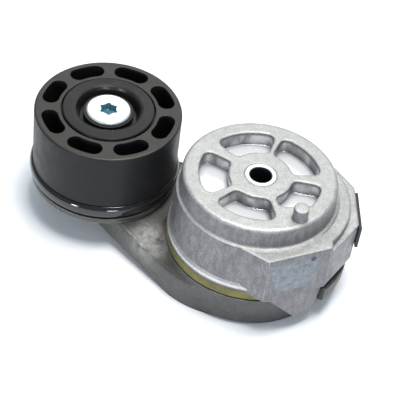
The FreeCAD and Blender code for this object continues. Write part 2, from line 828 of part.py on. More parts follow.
def add_web(body):
    sketch = new_sketch(body, "web_outline", "XY_Plane", -size("hub_depth"))
    end = size("web_end_radius")
    middle = (-size("centre_distance"), as_size(0))
    end_low = web_corner(end, -1)
    end_high = web_corner(end, 1)
    corners = [
        (end_low[0] - size("centre_distance"), end_low[1]),
        web_corner(size("web_hub_radius"), -1),
        polar(size("web_blend_radius"), size("web_blend_angle")),
        polar(size("web_blend_radius"), -size("web_blend_angle")),
        web_corner(size("web_hub_radius"), 1),
        (end_high[0] - size("centre_distance"), end_high[1]),
    ]
    draw_outline(sketch, corners, {5: (end, middle, 1)})
    pad(body, "web", sketch, size("hub_depth") - size("web_top_depth"))
    top = -SIZES["web_top_depth"]
    round_edges(body, "web_corners", size("web_corner_round"),
                lambda edge: stands_up(edge, -SIZES["hub_depth"], top, 47.0, 48.0))
    valley = new_sketch(body, "web_valley_cut", "XZ_Plane", size("cut_reach"))
    draw_outline(valley, [
        (-size("web_valley_start"), -size("web_top_depth")),
        (-size("hub_radius"), -size("web_valley_depth")),
        (as_size(0), -size("web_valley_depth")),
        (as_size(0), -size("plate_top_depth")),
        (-size("web_valley_start"), -size("plate_top_depth")),
    ])
    pocket(body, "web_valley", valley, size("cut_span"))
    base = new_sketch(body, "web_base_cut", "XZ_Plane", size("cut_reach"))
    below = size("hub_depth") + size("web_edge_round")
    draw_outline(base, [
        (-size("web_base_start"), -size("hub_depth")),
        (-size("web_base_kink"), -size("web_base_kink_depth")),
        (-size("web_base_end"), -size("web_base_end_depth")),
        (-size("web_base_end"), -below),
        (-size("web_base_start"), -below),
    ])
    pocket(body, "web_base", base, size("cut_span"))
    low = -SIZES["web_valley_depth"] - 0.5
    round_edges(body, "web_edges", size("web_edge_round"),
                lambda edge: edge.BoundBox.ZMin > low and abs(edge.CenterOfMass.y) > 12.0)


def add_hub(body):
    turn(body, "hub", [
        (size("tube_inner_radius"), size("tube_top_depth")),
        (size("tube_outer_radius"), size("tube_top_depth")),
        (size("tube_outer_radius"), size("hub_top_depth")),
        (size("hub_radius"), size("hub_top_depth")),
        (size("hub_base_radius"), size("hub_depth") - size("hub_edge")),
        (size("hub_base_radius") - size("hub_edge"), size("hub_depth")),
        (size("tube_inner_radius"), size("hub_depth")),
    ])
    deck = -SIZES["web_valley_depth"]
    round_edges(body, "web_valley_corner", size("web_valley_round"),
                lambda edge: is_circle(edge, SIZES["hub_radius"], deck, slack=0.3))
    above = size("hub_top_depth") - size("hub_edge")
    turn(body, "hub_cavity", [
        (size("tube_outer_radius"), above),
        (size("hub_cavity_radius"), above),
        (size("hub_cavity_radius"), size("hub_floor_depth")),
        (size("tube_outer_radius"), size("hub_floor_depth")),
    ], remove=True)
    turn(body, "hub_bore", [
        (as_size(0), size("roof_depth")),
        (size("tube_inner_radius"), size("roof_depth")),
        (size("tube_inner_radius"), size("hub_depth") + size("hub_edge")),
        (as_size(0), size("hub_depth") + size("hub_edge")),
    ], remove=True)
    turn(body, "washer_recess", [
        (as_size(0), size("washer_recess_depth")),
        (size("washer_recess_radius"), size("washer_recess_depth")),
        (size("washer_recess_radius"), size("hub_depth") + size("hub_edge")),
        (as_size(0), size("hub_depth") + size("hub_edge")),
    ], remove=True)


def add_ear(body):
    """Hollow ear beside the stop foot, and the slot in the cup wall for the spring's end."""
    first = size("ear_start_angle")
    last = size("ear_end_angle")
    wall = size("ear_wall")
    block = new_sketch(body, "ear_outline", "XY_Plane", -size("ear_base_depth"))
    draw_sector(block, size("hub_base_radius") - wall, size("ear_radius"), first, last)
    pad(body, "ear", block, size("ear_base_depth") - size("hub_top_depth"))
    round_edges(body, "ear_corners", size("ear_corner_round"),
                lambda edge: is_circle(edge, SIZES["ear_radius"], -SIZES["ear_base_depth"]))
    rim = new_sketch(body, "ear_rim_outline", "XY_Plane", -size("hub_top_depth"))
    draw_sector(rim, size("ear_radius") - wall, size("ear_radius"), first, last)
    pad(body, "ear_rim", rim, size("hub_top_depth") - size("ear_top_depth"))
    hollow = new_sketch(body, "ear_hollow_outline", "XY_Plane", -size("hub_top_depth"))
    draw_sector(hollow, size("hub_radius"), size("ear_radius") - wall,
                first + size("ear_wall_angle"), last - size("ear_wall_angle"))
    pocket(body, "ear_hollow", hollow, size("ear_floor_depth") - size("hub_top_depth"))
    slot = new_sketch(body, "cup_slot_outline", "XY_Plane", -size("hub_top_depth"))
    draw_sector(slot, size("tang_slot_start"), size("cup_slot_radius"),
                size("cup_slot_start"), size("cup_slot_end"))
    pocket(body, "cup_slot", slot, size("cup_slot_depth") - size("hub_top_depth"))


def add_plate_and_boss(body):
    plate_low = size("plate_top_depth") + size("plate_thickness")
    plate = new_sketch(body, "plate_outline", "XY_Plane", -plate_low, at_pulley=True)
    draw_circle(plate, 0, 0, size("plate_radius"))
    pad(body, "plate", plate, size("plate_thickness"))
    boss = new_sketch(body, "boss_outline", "XY_Plane", -plate_low, at_pulley=True)
    draw_circle(boss, 0, 0, size("boss_radius"))
    pad(body, "boss", boss, plate_low - size("boss_top_depth"))
    spigot = new_sketch(body, "spigot_outline", "XY_Plane", -size("boss_top_depth"), at_pulley=True)
    draw_circle(spigot, 0, 0, size("pulley_spigot_radius"))
    pad(body, "pulley_spigot", spigot, size("boss_top_depth") - size("spigot_top_depth"))
    hole = new_sketch(body, "bolt_hole_outline", "XY_Plane", -size("bearing_top_depth"), at_pulley=True)
    draw_circle(hole, 0, 0, size("bolt_shank_radius"))
    pocket(body, "bolt_hole", hole, size("hub_depth"))


def cut_underside(body):
    """Two hollows under the web that leave a rib down its middle."""
    for name, side in (("near", -1), ("far", 1)):
        sketch = new_sketch(body, name + "_hollow_outline", "XY_Plane", -size("rib_pocket_depth"))
        draw_outline(sketch, [
            (-size("rib_pocket_start"), size("rib_half_width") * side),
            (-size("rib_pocket_start"), size("rib_pocket_wide") * side),
            (-size("rib_pocket_end"), size("rib_pocket_narrow") * side),
            (-size("rib_pocket_end"), size("rib_half_width") * side),
        ])
        pocket(body, name + "_hollow", sketch, size("hub_depth"))


def make_bushings():
    inner = size("sleeve_radius") + size("fit_gap")
    middle = size("bushing_split_depth")
    make_ring("upper_pivot_bushing", inner, size("tube_inner_radius"),
              size("tube_top_depth"), middle - size("bushing_half_split"))
    make_ring("lower_pivot_bushing", inner, size("tube_inner_radius"),
              middle + size("bushing_half_split"), size("bushing_bottom_depth"))
    make_turned("spring_guide", [
        (size("tube_outer_radius"), size("guide_top_depth")),
        (size("guide_radius"), size("guide_top_depth")),
        (size("guide_radius"), size("hub_floor_depth") - size("guide_flange_thickness")),
        (size("guide_flange_radius"), size("hub_floor_depth") - size("guide_flange_thickness")),
        (size("guide_flange_radius"), size("hub_floor_depth")),
        (size("tube_outer_radius"), size("hub_floor_depth")),
    ])


def make_pulley():
    """Flat-faced wheel: rim, bearing hub and eight ribs between kidney-shaped slots."""
    body = new_body("pulley")
    bore = size("pulley_bore_radius")
    turn(body, "wheel", [
        (size("pulley_lip_radius"), size("pulley_mouth_depth")),
        (size("pulley_mouth_radius"), size("pulley_mouth_depth")),
        (size("pulley_mouth_radius"), size("pulley_top_depth")),
        (size("pulley_radius"), size("pulley_top_depth")),
        (size("pulley_radius"), size("pulley_depth")),
        (size("slot_outer_radius"), size("pulley_depth")),
        (size("slot_outer_radius"), size("pulley_hub_depth")),
        (bore, size("pulley_hub_depth")),
        (bore, size("bearing_top_depth")),
        (size("pulley_lip_radius"), size("bearing_top_depth")),
    ], at_pulley=True)
    groove_top = size("bearing_depth")
    groove_low = groove_top + size("snap_ring_thickness")
    turn(body, "snap_ring_groove", [
        (bore - size("bore_chamfer"), groove_top),
        (size("snap_ring_radius"), groove_top),
        (size("snap_ring_radius"), groove_low),
        (bore - size("bore_chamfer"), groove_low),
    ], remove=True, at_pulley=True)
    cut_slots(body)
    round_edges(body, "rim_edge", size("pulley_edge_round"),
                lambda edge: is_circle(edge, SIZES["pulley_radius"], -SIZES["pulley_top_depth"]))


def cut_slots(body):
    """One kidney slot with round ends, then a polar pattern of it."""
    sketch = new_sketch(body, "slot_outline", "XY_Plane", -size("pulley_top_depth"), at_pulley=True)
    inner = size("slot_inner_radius")
    outer = size("slot_outer_radius")
    first = size("slot_first_angle") - size("slot_half_angle")
    last = size("slot_first_angle") + size("slot_half_angle")
    middle = (inner + outer) / 2
    cap = (outer - inner) / 2
    corners = [polar(inner, first), polar(outer, first), polar(outer, last), polar(inner, last)]
    draw_outline(sketch, corners, {
        0: (cap, polar(middle, first), 1),
        1: (outer, ORIGIN, 1),
        2: (cap, polar(middle, last), 1),
        3: (inner, ORIGIN, -1),
    })
    slot = pocket(body, "slot", sketch, size("pulley_depth"))
    document.recompute()
    pattern = body.newObject("PartDesign::PolarPattern", "slots")
    pattern.Originals = [slot]
    pattern.Axis = (sketch, ["N_Axis"])
    pattern.Angle = 360
    pattern.Occurrences = int(SIZES["slot_count"])
    pattern.setExpression("Occurrences", "sizes.slot_count")
    body.Tip = pattern


def make_bearing():
    """Double-row ball bearing with the inner race on the arm's spigot."""
    top = size("bearing_top_depth")
    bottom = size("bearing_depth")
    make_race("bearing_inner_race", size("inner_race_bore"), size("inner_race_radius"),
              size("inner_shoulder_radius"))
    make_race("bearing_outer_race", size("pulley_bore_radius"), size("seal_outer_radius"),
              size("outer_shoulder_radius"))
    seal_top = top + size("seal_inset")
    seal_bottom = bottom - size("seal_inset")
    make_ring("front_bearing_seal", size("seal_inner_radius"), size("seal_outer_radius"),
              seal_top, seal_top + size("seal_thickness"), at_pulley=True)
    make_ring("rear_bearing_seal", size("seal_inner_radius"), size("seal_outer_radius"),
              seal_bottom - size("seal_thickness"), seal_bottom, at_pulley=True)
    middle = (top + bottom) / 2
    make_ball_row("front", middle - size("row_spacing"))
    make_ball_row("rear", middle + size("row_spacing"))


def make_race(name, wall, land, shoulder):
    """A race: plain wall, stepped lands for the seals, a round groove for each ball row."""
    top = size("bearing_top_depth")
    bottom = size("bearing_depth")
    step = size("seal_inset") + size("seal_thickness")
    circle = size("ball_circle_radius")
    groove = size("groove_radius")
    rise = shoulder - circle
    half = square_root(groove * groove - rise * rise)
    front = (top + bottom) / 2 - size("row_spacing")
    rear = (top + bottom) / 2 + size("row_spacing")
    way = 1 if shoulder.value < circle.value else -1
    make_turned(name, [
        (wall, top),
        (land, top),
        (land, top + step),
        (shoulder, top + step),
        (shoulder, front - half),
        (shoulder, front + half),
        (shoulder, rear - half),
        (shoulder, rear + half),
        (shoulder, bottom - step),
        (land, bottom - step),
        (land, bottom),
        (wall, bottom),
    ], {4: (groove, (circle, -front), way), 6: (groove, (circle, -rear), way)}, at_pulley=True)


def make_ball_row(row, depth):
    """Eleven balls as one node, and the cage that spaces them."""
    balls = []
    step = 360.0 / SIZES["ball_count"]
    for number in range(int(SIZES["ball_count"])):
        ball = document.addObject("Part::Sphere", "%s_ball_%d" % (row, number + 1))
        angle = as_size(number * step)
        x, y = polar(size("ball_circle_radius"), angle)
        ball.Radius = SIZES["ball_radius"]
        ball.setExpression("Radius", "sizes.ball_radius")
        ball.setExpression("Placement.Base.x", (x - size("centre_distance")).text)
        ball.setExpression("Placement.Base.y", y.text)
        ball.setExpression("Placement.Base.z", (-depth).text)
        balls.append(ball)
    group = document.addObject("Part::Compound", row + "_ball_row")
    group.Links = balls
    body = new_body(row + "_ball_cage")
    turn(body, row + "_cage_ring", [
        (size("cage_inner_radius"), depth - size("cage_half_height")),
        (size("cage_outer_radius"), depth - size("cage_half_height")),
        (size("cage_outer_radius"), depth + size("cage_half_height")),
        (size("cage_inner_radius"), depth + size("cage_half_height")),
    ], at_pulley=True)
    reach = size("cage_hole_reach") - size("centre_distance")
    sketch = new_sketch(body, row + "_cage_hole", "YZ_Plane", reach)
    draw_circle(sketch, as_size(0), -depth, size("cage_hole_radius"))
    hole = pocket(body, row + "_cage_pocket", sketch, size("row_spacing") + size("row_spacing"))
    document.recompute()
    pattern = body.newObject("PartDesign::PolarPattern", row + "_cage_pockets")
    pattern.Originals = [hole]
    pattern.Axis = (body.getObject(row + "_cage_ring_profile"), ["V_Axis"])
    pattern.Angle = 360
    pattern.Occurrences = int(SIZES["ball_count"])
    pattern.setExpression("Occurrences", "sizes.ball_count")
    body.Tip = pattern


def make_snap_ring():
    """Open ring in the pulley's groove under the bearing."""
    top = size("bearing_depth")
    body = make_ring("bearing_snap_ring", size("snap_ring_inner"), size("snap_ring_radius"),
                     top, top + size("snap_ring_thickness"), at_pulley=True)
    gap = new_sketch(body, "snap_ring_gap", "XY_Plane", -top, at_pulley=True)
    half = size("snap_ring_half_gap")
    draw_sector(gap, size("outer_shoulder_radius"), size("slot_inner_radius"), -half, half)
    pocket(body, "snap_ring_opening", gap, size("snap_ring_half_gap"))


def make_shields():
    """Front disc with its raised ring and sunk middle, the washer in it, and the rear dish."""
    bolt = size("bolt_shank_radius") + size("fit_gap")
    skin = size("shield_thickness")
    make_turned("front_dust_shield", [
        (bolt, size("shield_recess_depth")),
        (size("shield_floor_radius"), size("shield_recess_depth")),
        (size("shield_recess_radius"), size("shield_edge_depth") + skin),
        (size("shield_recess_radius") + skin / 2, size("shield_edge_depth")),
        (size("shield_crest_radius") - skin / 2, size("shield_top_depth")),
        (size("shield_crest_radius") + skin / 2, size("shield_top_depth")),
        (size("shield_radius") - skin / 2, size("shield_edge_depth")),
        (size("shield_radius"), size("shield_edge_depth") + skin / 2),
        (size("shield_radius"), size("shield_edge_depth") + skin),
        (size("shield_recess_radius") + skin, size("shield_edge_depth") + skin),
        (size("shield_floor_radius") + skin, size("shield_recess_depth") + skin),
        (bolt, size("shield_recess_depth") + skin),
    ], at_pulley=True)
    make_ring("bolt_washer", size("bolt_neck_radius") + size("fit_gap"),
              size("bolt_washer_radius"), size("bolt_head_seat_depth"),
              size("shield_recess_depth"), at_pulley=True)
    make_rear_shield()


def make_rear_shield():
    """Dish under the bearing with a thick round bead along its rim."""
    skin = size("rear_shield_thickness")
    rim = size("rear_shield_radius")
    top = size("rear_shield_top_depth")
    low = size("rear_shield_depth")
    bead = size("rear_shield_rim_round")
    plate = size("rear_shield_plate_depth")
    cone = size("rear_shield_cone_radius")
    make_turned("rear_dust_shield", [
        (size("inner_race_bore"), size("bearing_depth")),
        (size("inner_race_radius"), size("bearing_depth")),
        (size("inner_race_radius"), size("boss_top_depth")),
        (cone, plate),
        (size("rear_shield_flat_radius"), plate),
        (rim - bead, top),
        (rim, top + bead),
        (rim, low - bead),
        (rim - bead, low),
        (rim - bead - skin, low),
        (rim - bead - skin, plate + skin),
        (cone - skin, plate + skin),
        (size("inner_race_radius") - skin, size("boss_top_depth")),
        (size("inner_race_bore"), size("boss_top_depth")),
    ], {
        5: (bead, (rim - bead, -top - bead), -1),
        7: (bead, (rim - bead, -low + bead), -1),
    }, at_pulley=True)


def make_bolt():
    """Flat-headed bolt with a thick neck under the head and a six-lobe socket."""
    body = new_body("pulley_bolt")
    turn(body, "bolt_turning", [
        (as_size(0), size("bolt_head_top_depth")),
        (size("bolt_head_radius") - size("bolt_head_edge"), size("bolt_head_top_depth")),
        (size("bolt_head_radius"), size("bolt_head_top_depth") + size("bolt_head_edge")),
        (size("bolt_head_radius"), size("bolt_head_seat_depth")),
        (size("bolt_neck_radius"), size("bolt_head_seat_depth")),
        (size("bolt_neck_radius"), size("shield_recess_depth")),
        (size("bolt_shank_radius"), size("shield_recess_depth")),
        (size("bolt_shank_radius"), size("bolt_end_depth") - size("bolt_head_edge")),
        (size("bolt_shank_radius") - size("bolt_head_edge"), size("bolt_end_depth")),
        (as_size(0), size("bolt_end_depth")),
    ], at_pulley=True)
    core = new_sketch(body, "socket_core", "XY_Plane", -size("bolt_head_top_depth"), at_pulley=True)
    draw_circle(core, 0, 0, size("socket_core_radius"))
    pocket(body, "socket_well", core, size("socket_depth"))
    lobe = new_sketch(body, "socket_lobe", "XY_Plane", -size("bolt_head_top_depth"), at_pulley=True)
    draw_circle(lobe, size("socket_lobe_circle"), 0, size("socket_lobe_radius"))
    flute = pocket(body, "socket_flute", lobe, size("socket_depth"))
    document.recompute()
    pattern = body.newObject("PartDesign::PolarPattern", "socket_flutes")
    pattern.Originals = [flute]
    pattern.Axis = (core, ["N_Axis"])
    pattern.Angle = 360
    pattern.Occurrences = 6
    body.Tip = pattern


NODES = (
    "spring_case", "pivot_sleeve", "thrust_washer", "pivot_end_washer", "damper_ring",
    "torsion_spring", "spring_end_clip", "tensioner_arm", "upper_pivot_bushing",
    "lower_pivot_bushing", "spring_guide", "pulley_bolt", "bolt_washer", "front_dust_shield",
    "rear_dust_shield", "bearing_inner_race", "pulley", "bearing_outer_race",
    "front_bearing_seal", "rear_bearing_seal", "bearing_snap_ring", "front_ball_row",
    "rear_ball_row", "front_ball_cage", "rear_ball_cage",
)


def check_and_write():
    """Stop on any failed feature, then write one STEP file for each separate piece."""
    document.recompute()
    for item in document.Objects:
        if "Invalid" in item.State or "Error" in item.State:
            raise RuntimeError("feature failed: " + item.Name)
    os.makedirs("parts", exist_ok=True)
    for name in NODES:
        shape = document.getObject(name).Shape
        if shape.isNull() or not shape.isValid():
            raise RuntimeError("bad shape: " + name)
        print("%-22s %9.0f mm3  solids %d" % (name, shape.Volume, len(shape.Solids)))
        shape.exportStep("parts/%s.step" % name)


fill_sheet()
make_case()
make_sleeve()
make_damper_ring()
make_spring()
make_clip()
make_arm()
make_bushings()
make_pulley()
make_bearing()
make_snap_ring()
make_shields()
make_bolt()
check_and_write()
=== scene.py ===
import math

import bpy
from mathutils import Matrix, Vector


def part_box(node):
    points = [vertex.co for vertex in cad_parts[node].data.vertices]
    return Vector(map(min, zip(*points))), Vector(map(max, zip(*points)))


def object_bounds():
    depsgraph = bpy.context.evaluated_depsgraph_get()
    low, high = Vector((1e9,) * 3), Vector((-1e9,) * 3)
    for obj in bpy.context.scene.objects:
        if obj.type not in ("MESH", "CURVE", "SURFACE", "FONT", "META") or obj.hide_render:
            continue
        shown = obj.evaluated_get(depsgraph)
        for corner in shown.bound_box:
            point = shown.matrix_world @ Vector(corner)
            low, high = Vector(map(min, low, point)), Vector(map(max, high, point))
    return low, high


# Belt tensioner idler on a white studio floor. Metres, in the CAD frame: the origin is the
# middle of the mounting bore at the mounting face, +Z out of that face, pulley towards -X.

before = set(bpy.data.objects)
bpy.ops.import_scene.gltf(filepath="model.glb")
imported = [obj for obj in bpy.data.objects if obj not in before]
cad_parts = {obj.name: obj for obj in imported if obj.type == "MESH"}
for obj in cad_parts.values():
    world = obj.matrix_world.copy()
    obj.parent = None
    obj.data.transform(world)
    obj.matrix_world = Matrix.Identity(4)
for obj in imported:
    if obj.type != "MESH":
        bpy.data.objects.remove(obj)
cad_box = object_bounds()
scene = bpy.context.scene

FLOOR_Z = cad_box[0][2]
PULLEY_X = (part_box("pulley")[0].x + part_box("pulley")[1].x) / 2

# Marks on the castings: a frosted patch and a pit on the front facet; on the arm, a painted
# reflection on one spot of the deck.
PATCH_CENTRE = (0.0370, -0.0282, -0.0125)
PATCH_FACING = (0.763, -0.640, 0.08)
PIT_CENTRE = (0.0423, -0.0222, -0.0158)
DECK_SHEEN_CENTRE = (-0.041, -0.028, -0.047)


# ---------------------------------------------------------------- camera, floor and lights

def add_camera():
    """Long lens, looking down at about 45 degrees with the frame tilted a little."""
    azimuth = math.radians(22.4)
    elevation = math.radians(44.78)
    roll = math.radians(8.26)
    distance = 0.6686
    target = Vector((-0.0173, -0.0314, -0.00135))
    back = Vector((math.sin(azimuth) * math.cos(elevation),
                   -math.cos(azimuth) * math.cos(elevation),
                   math.sin(elevation)))
    data = bpy.data.cameras.new("camera")
    data.lens = 124.55
    data.sensor_width = 36.0
    data.clip_start = 0.01
    data.clip_end = 20.0
    camera = bpy.data.objects.new("camera", data)
    scene.collection.objects.link(camera)
    camera.location = target + back * distance
    camera.rotation_euler = back.to_track_quat("Z", "Y").to_euler()
    camera.rotation_euler.rotate_axis("Z", roll)
    scene.camera = camera


def add_floor():
    """One wide flat sheet of pale paper."""
    half = 3.0
    mesh = bpy.data.meshes.new("floor")
    corners = [(-half, -half, FLOOR_Z), (half, -half, FLOOR_Z),
               (half, half, FLOOR_Z), (-half, half, FLOOR_Z)]
    mesh.from_pydata(corners, [], [(0, 1, 2, 3)])
    floor = bpy.data.objects.new("floor", mesh)
    scene.collection.objects.link(floor)
    paper = Finish("floor_paper")
    paper.set("Base Color", (0.93, 0.94, 0.955))
    paper.set("Roughness", 0.85)
    paper.set("Specular IOR Level", 0.1)
    mesh.materials.append(paper.material)


def add_light(name, location, aim, size, power, colour):
    """Rectangular soft light turned towards a point."""
    data = bpy.data.lights.new(name, "AREA")
    data.shape = "RECTANGLE"
    data.size = size[0]
    data.size_y = size[1]
    data.energy = power
    data.color = colour
    light = bpy.data.objects.new(name, data)
    scene.collection.objects.link(light)
    light.location = location
    direction = Vector(aim) - Vector(location)
    light.rotation_euler = direction.to_track_quat("-Z", "Y").to_euler()


def add_lights():
    """Dim bluish surroundings, a soft light overhead, a large one behind, two small in front."""
    world = bpy.data.worlds.new("studio")
    world.use_nodes = True
    background = world.node_tree.nodes["Background"]
    background.inputs["Color"].default_value = (0.68, 0.83, 1.0, 1)
    background.inputs["Strength"].default_value = 0.40
    scene.world = world
    middle = (-0.02, 0, -0.03)
    add_light("overhead", (0.06, 0.02, 1.05), middle, (0.45, 0.40), 13.0, (1.0, 0.99, 0.97))
    add_light("back_sheet", (-0.32, 0.80, 0.80), middle, (1.1, 0.7), 3.6, (1.0, 0.99, 0.975))
    add_light("front_left", (-0.22, -0.95, 0.16), middle, (0.13, 0.20), 2.7, (1.0, 1.0, 1.0))
    add_light("front_right", (0.60, -0.75, 0.16), middle, (0.22, 0.16), 2.2, (1.0, 1.0, 1.0))
    scene.view_settings.view_transform = "Standard"


# ---------------------------------------------------------------- material building blocks

class Finish:
    """One procedural material, with short names for the nodes it is built from."""

    def __init__(self, name):
        self.material = bpy.data.materials.new(name)
        self.material.use_nodes = True
        self.nodes = self.material.node_tree.nodes
        self.links = self.material.node_tree.links
        self.shader = self.nodes["Principled BSDF"]

    def feed(self, socket, value):
        """Link a node output into a socket, or set the socket to a number or colour."""
        if isinstance(value, bpy.types.NodeSocket):
            self.links.new(value, socket)
        elif isinstance(value, tuple) and len(socket.default_value) == 4:
            socket.default_value = (*value, 1)
        else:
            socket.default_value = value

    def set(self, name, value):
        """Feed one of the shader's own inputs."""
        self.feed(self.shader.inputs[name], value)

    def place(self):
        """Position on the part, in metres of the CAD frame."""
        return self.nodes.new("ShaderNodeTexCoord").outputs["Object"]

    def axis(self, vector, letter):
        """One coordinate of a vector."""
        split = self.nodes.new("ShaderNodeSeparateXYZ")
        self.links.new(vector, split.inputs[0])
        return split.outputs[letter]

    def facing(self, direction):
        """How squarely the surface faces a direction, 1 when it does."""
        node = self.nodes.new("ShaderNodeVectorMath")
        node.operation = "DOT_PRODUCT"
        self.links.new(self.nodes.new("ShaderNodeNewGeometry").outputs["Normal"], node.inputs[0])
        node.inputs[1].default_value = direction
        return node.outputs["Value"]

    def away(self, centre):
        """Distance from a point."""
        node = self.nodes.new("ShaderNodeVectorMath")
        node.operation = "DISTANCE"
        self.links.new(self.place(), node.inputs[0])
        node.inputs[1].default_value = centre
        return node.outputs["Value"]

    def from_axis(self):
        """Distance from the pivot axis."""
        flat = self.nodes.new("ShaderNodeVectorMath")
        flat.operation = "MULTIPLY"
        self.links.new(self.place(), flat.inputs[0])
        flat.inputs[1].default_value = (1, 1, 0)
        node = self.nodes.new("ShaderNodeVectorMath")
        node.operation = "LENGTH"
        self.links.new(flat.outputs[0], node.inputs[0])
        return node.outputs["Value"]

    def noise(self, scale, detail=4.0, roughness=0.55, stretch=(1, 1, 1)):
        """Noise in 0 to 1; scale is blobs per metre, stretch squeezes it along an axis."""
        mapping = self.nodes.new("ShaderNodeMapping")
        mapping.inputs["Scale"].default_value = stretch
        self.links.new(self.place(), mapping.inputs["Vector"])
        texture = self.nodes.new("ShaderNodeTexNoise")
        texture.inputs["Scale"].default_value = scale
        texture.inputs["Detail"].default_value = detail
        texture.inputs["Roughness"].default_value = roughness
        self.links.new(mapping.outputs["Vector"], texture.inputs["Vector"])
        return texture.outputs["Fac"]

    def step(self, value, low, high, to_low=0.0, to_high=1.0):
        """Smooth change from one value to another as the input goes from low to high."""
        node = self.nodes.new("ShaderNodeMapRange")
        node.interpolation_type = "SMOOTHSTEP"
        node.inputs["From Min"].default_value = low
        node.inputs["From Max"].default_value = high
        node.inputs["To Min"].default_value = to_low
        node.inputs["To Max"].default_value = to_high
        self.links.new(value, node.inputs["Value"])
        return node.outputs["Result"]

    def times(self, first, second):
        """Product of two numbers, linked or constant."""
        node = self.nodes.new("ShaderNodeMath")
        node.operation = "MULTIPLY"
        self.feed(node.inputs[0], first)
        self.feed(node.inputs[1], second)
        return node.outputs[0]

    def blend(self, factor, first, second, kind="MIX"):
        """Colour mix: the first at factor 0, the second at factor 1."""
        node = self.nodes.new("ShaderNodeMix")
        node.data_type = "RGBA"
        node.blend_type = kind
        sockets = {socket.identifier: socket for socket in node.inputs}
        self.feed(sockets["Factor_Float"], factor)
        self.feed(sockets["A_Color"], first)
        self.feed(sockets["B_Color"], second)
        return node.outputs[2]

    def soft_normal(self, radius):
        """Surface normal with every edge rounded over by a radius."""
        node = self.nodes.new("ShaderNodeBevel")
        node.samples = 6
        node.inputs["Radius"].default_value = radius
        return node.outputs["Normal"]

    def edges(self, radius):
        """1 along edges, 0 on open surface."""
        node = self.nodes.new("ShaderNodeVectorMath")
        node.operation = "DOT_PRODUCT"
        self.links.new(self.soft_normal(radius), node.inputs[0])
        self.links.new(self.nodes.new("ShaderNodeNewGeometry").outputs["Normal"], node.inputs[1])
        return self.step(node.outputs["Value"], 0.99, 0.90)

    def crevice(self, reach):
        """1 deep in corners and gaps, 0 on open surface."""
        node = self.nodes.new("ShaderNodeAmbientOcclusion")
        node.samples = 6
        node.inputs["Distance"].default_value = reach
        return self.step(node.outputs["AO"], 0.72, 0.40)

    def relief(self, heights, normal):
        """Bump a surface normal; heights are (value, strength, depth in metres)."""
        for value, strength, depth in heights:
            node = self.nodes.new("ShaderNodeBump")
            self.feed(node.inputs["Strength"], strength)
            node.inputs["Distance"].default_value = depth
            self.links.new(value, node.inputs["Height"])
            self.links.new(normal, node.inputs["Normal"])
            normal = node.outputs["Normal"]
        self.set("Normal", normal)


# ---------------------------------------------------------------- castings

def case_body_colour(cast, top):
    """Grey casting with clouds and blotches, with drag marks down its sides; paler on top and darker
    on the sides, partly its own skin and partly painted light and shade.
    """
    clouds = cast.noise(70, 5)
    blotches = cast.step(cast.noise(260, 5, 0.7), 0.36, 0.62)
    # Sides: casting skin painted darker, partly as painted shade on the sides.
    side_colour = cast.blend(clouds, (0.160, 0.158, 0.168), (0.280, 0.277, 0.286))
    side_colour = cast.blend(blotches, cast.blend(0.35, side_colour, (0.12, 0.12, 0.13)), side_colour)
    # Top: paler, partly its own finish and partly painted light from above.
    top_colour_and_light = cast.blend(clouds, (0.415, 0.410, 0.392), (0.56, 0.555, 0.535))
    top_colour_and_light = cast.blend(blotches, cast.blend(0.28, top_colour_and_light, (0.24, 0.24, 0.22)), top_colour_and_light)
    drag = cast.step(cast.noise(420, 5, 0.75, (1, 1, 0.30)), 0.33, 0.65, 0.78, 1.14)
    side_colour = cast.blend(1.0, side_colour, drag, "MULTIPLY")
    return cast.blend(top, side_colour, top_colour_and_light)


def pocket_mask(cast, height):
    """1 inside the five pockets of the mounting face."""
    sunk = cast.times(cast.step(height, -0.0012, -0.0030), cast.step(height, -0.0105, -0.0095))
    inside = cast.step(cast.from_axis(), 0.0325, 0.0315)
    return cast.times(sunk, inside)


def pocket_colour_and_light(cast, top):
    """Bright metal streaked on the walls, with the floor painted pale as lit, the walls painted
    darker as shaded, and painted shade where the floor meets them.
    """
    streaks = cast.step(cast.noise(130, 3, 0.5, (1, 1, 0.4)), 0.35, 0.65)
    # Walls painted darker, as shaded.
    wall = cast.blend(streaks, (0.22, 0.22, 0.23), (0.62, 0.62, 0.62))
    # Floor painted pale as lit, with painted shade in its corners.
    floor = cast.blend(cast.crevice(0.0065), (0.86, 0.86, 0.86), (0.48, 0.48, 0.50))
    return cast.blend(top, wall, floor)


def ridge_highlight_mask(cast, height):
    """1 on the ridge that runs round the case just above the damper ring, where a highlight is
    painted.
    """
    band = cast.times(cast.step(height, -0.0362, -0.0368), cast.step(height, -0.0384, -0.0378))
    outer = cast.times(cast.step(cast.from_axis(), 0.0419, 0.0424), band)
    return cast.times(outer, cast.step(cast.from_axis(), 0.0440, 0.0433))


def patch_mask(cast, height):
    """1 on the round frosted patch of the front facet."""
    patch = cast.times(cast.step(cast.facing(PATCH_FACING), 0.96, 0.985),
                       cast.step(cast.away(PATCH_CENTRE), 0.0218, 0.0204))
    patch = cast.times(patch, cast.step(height, -0.0145, -0.0165))
    return cast.times(patch, cast.step(cast.axis(cast.place(), "Y"), -0.0175, -0.0200))


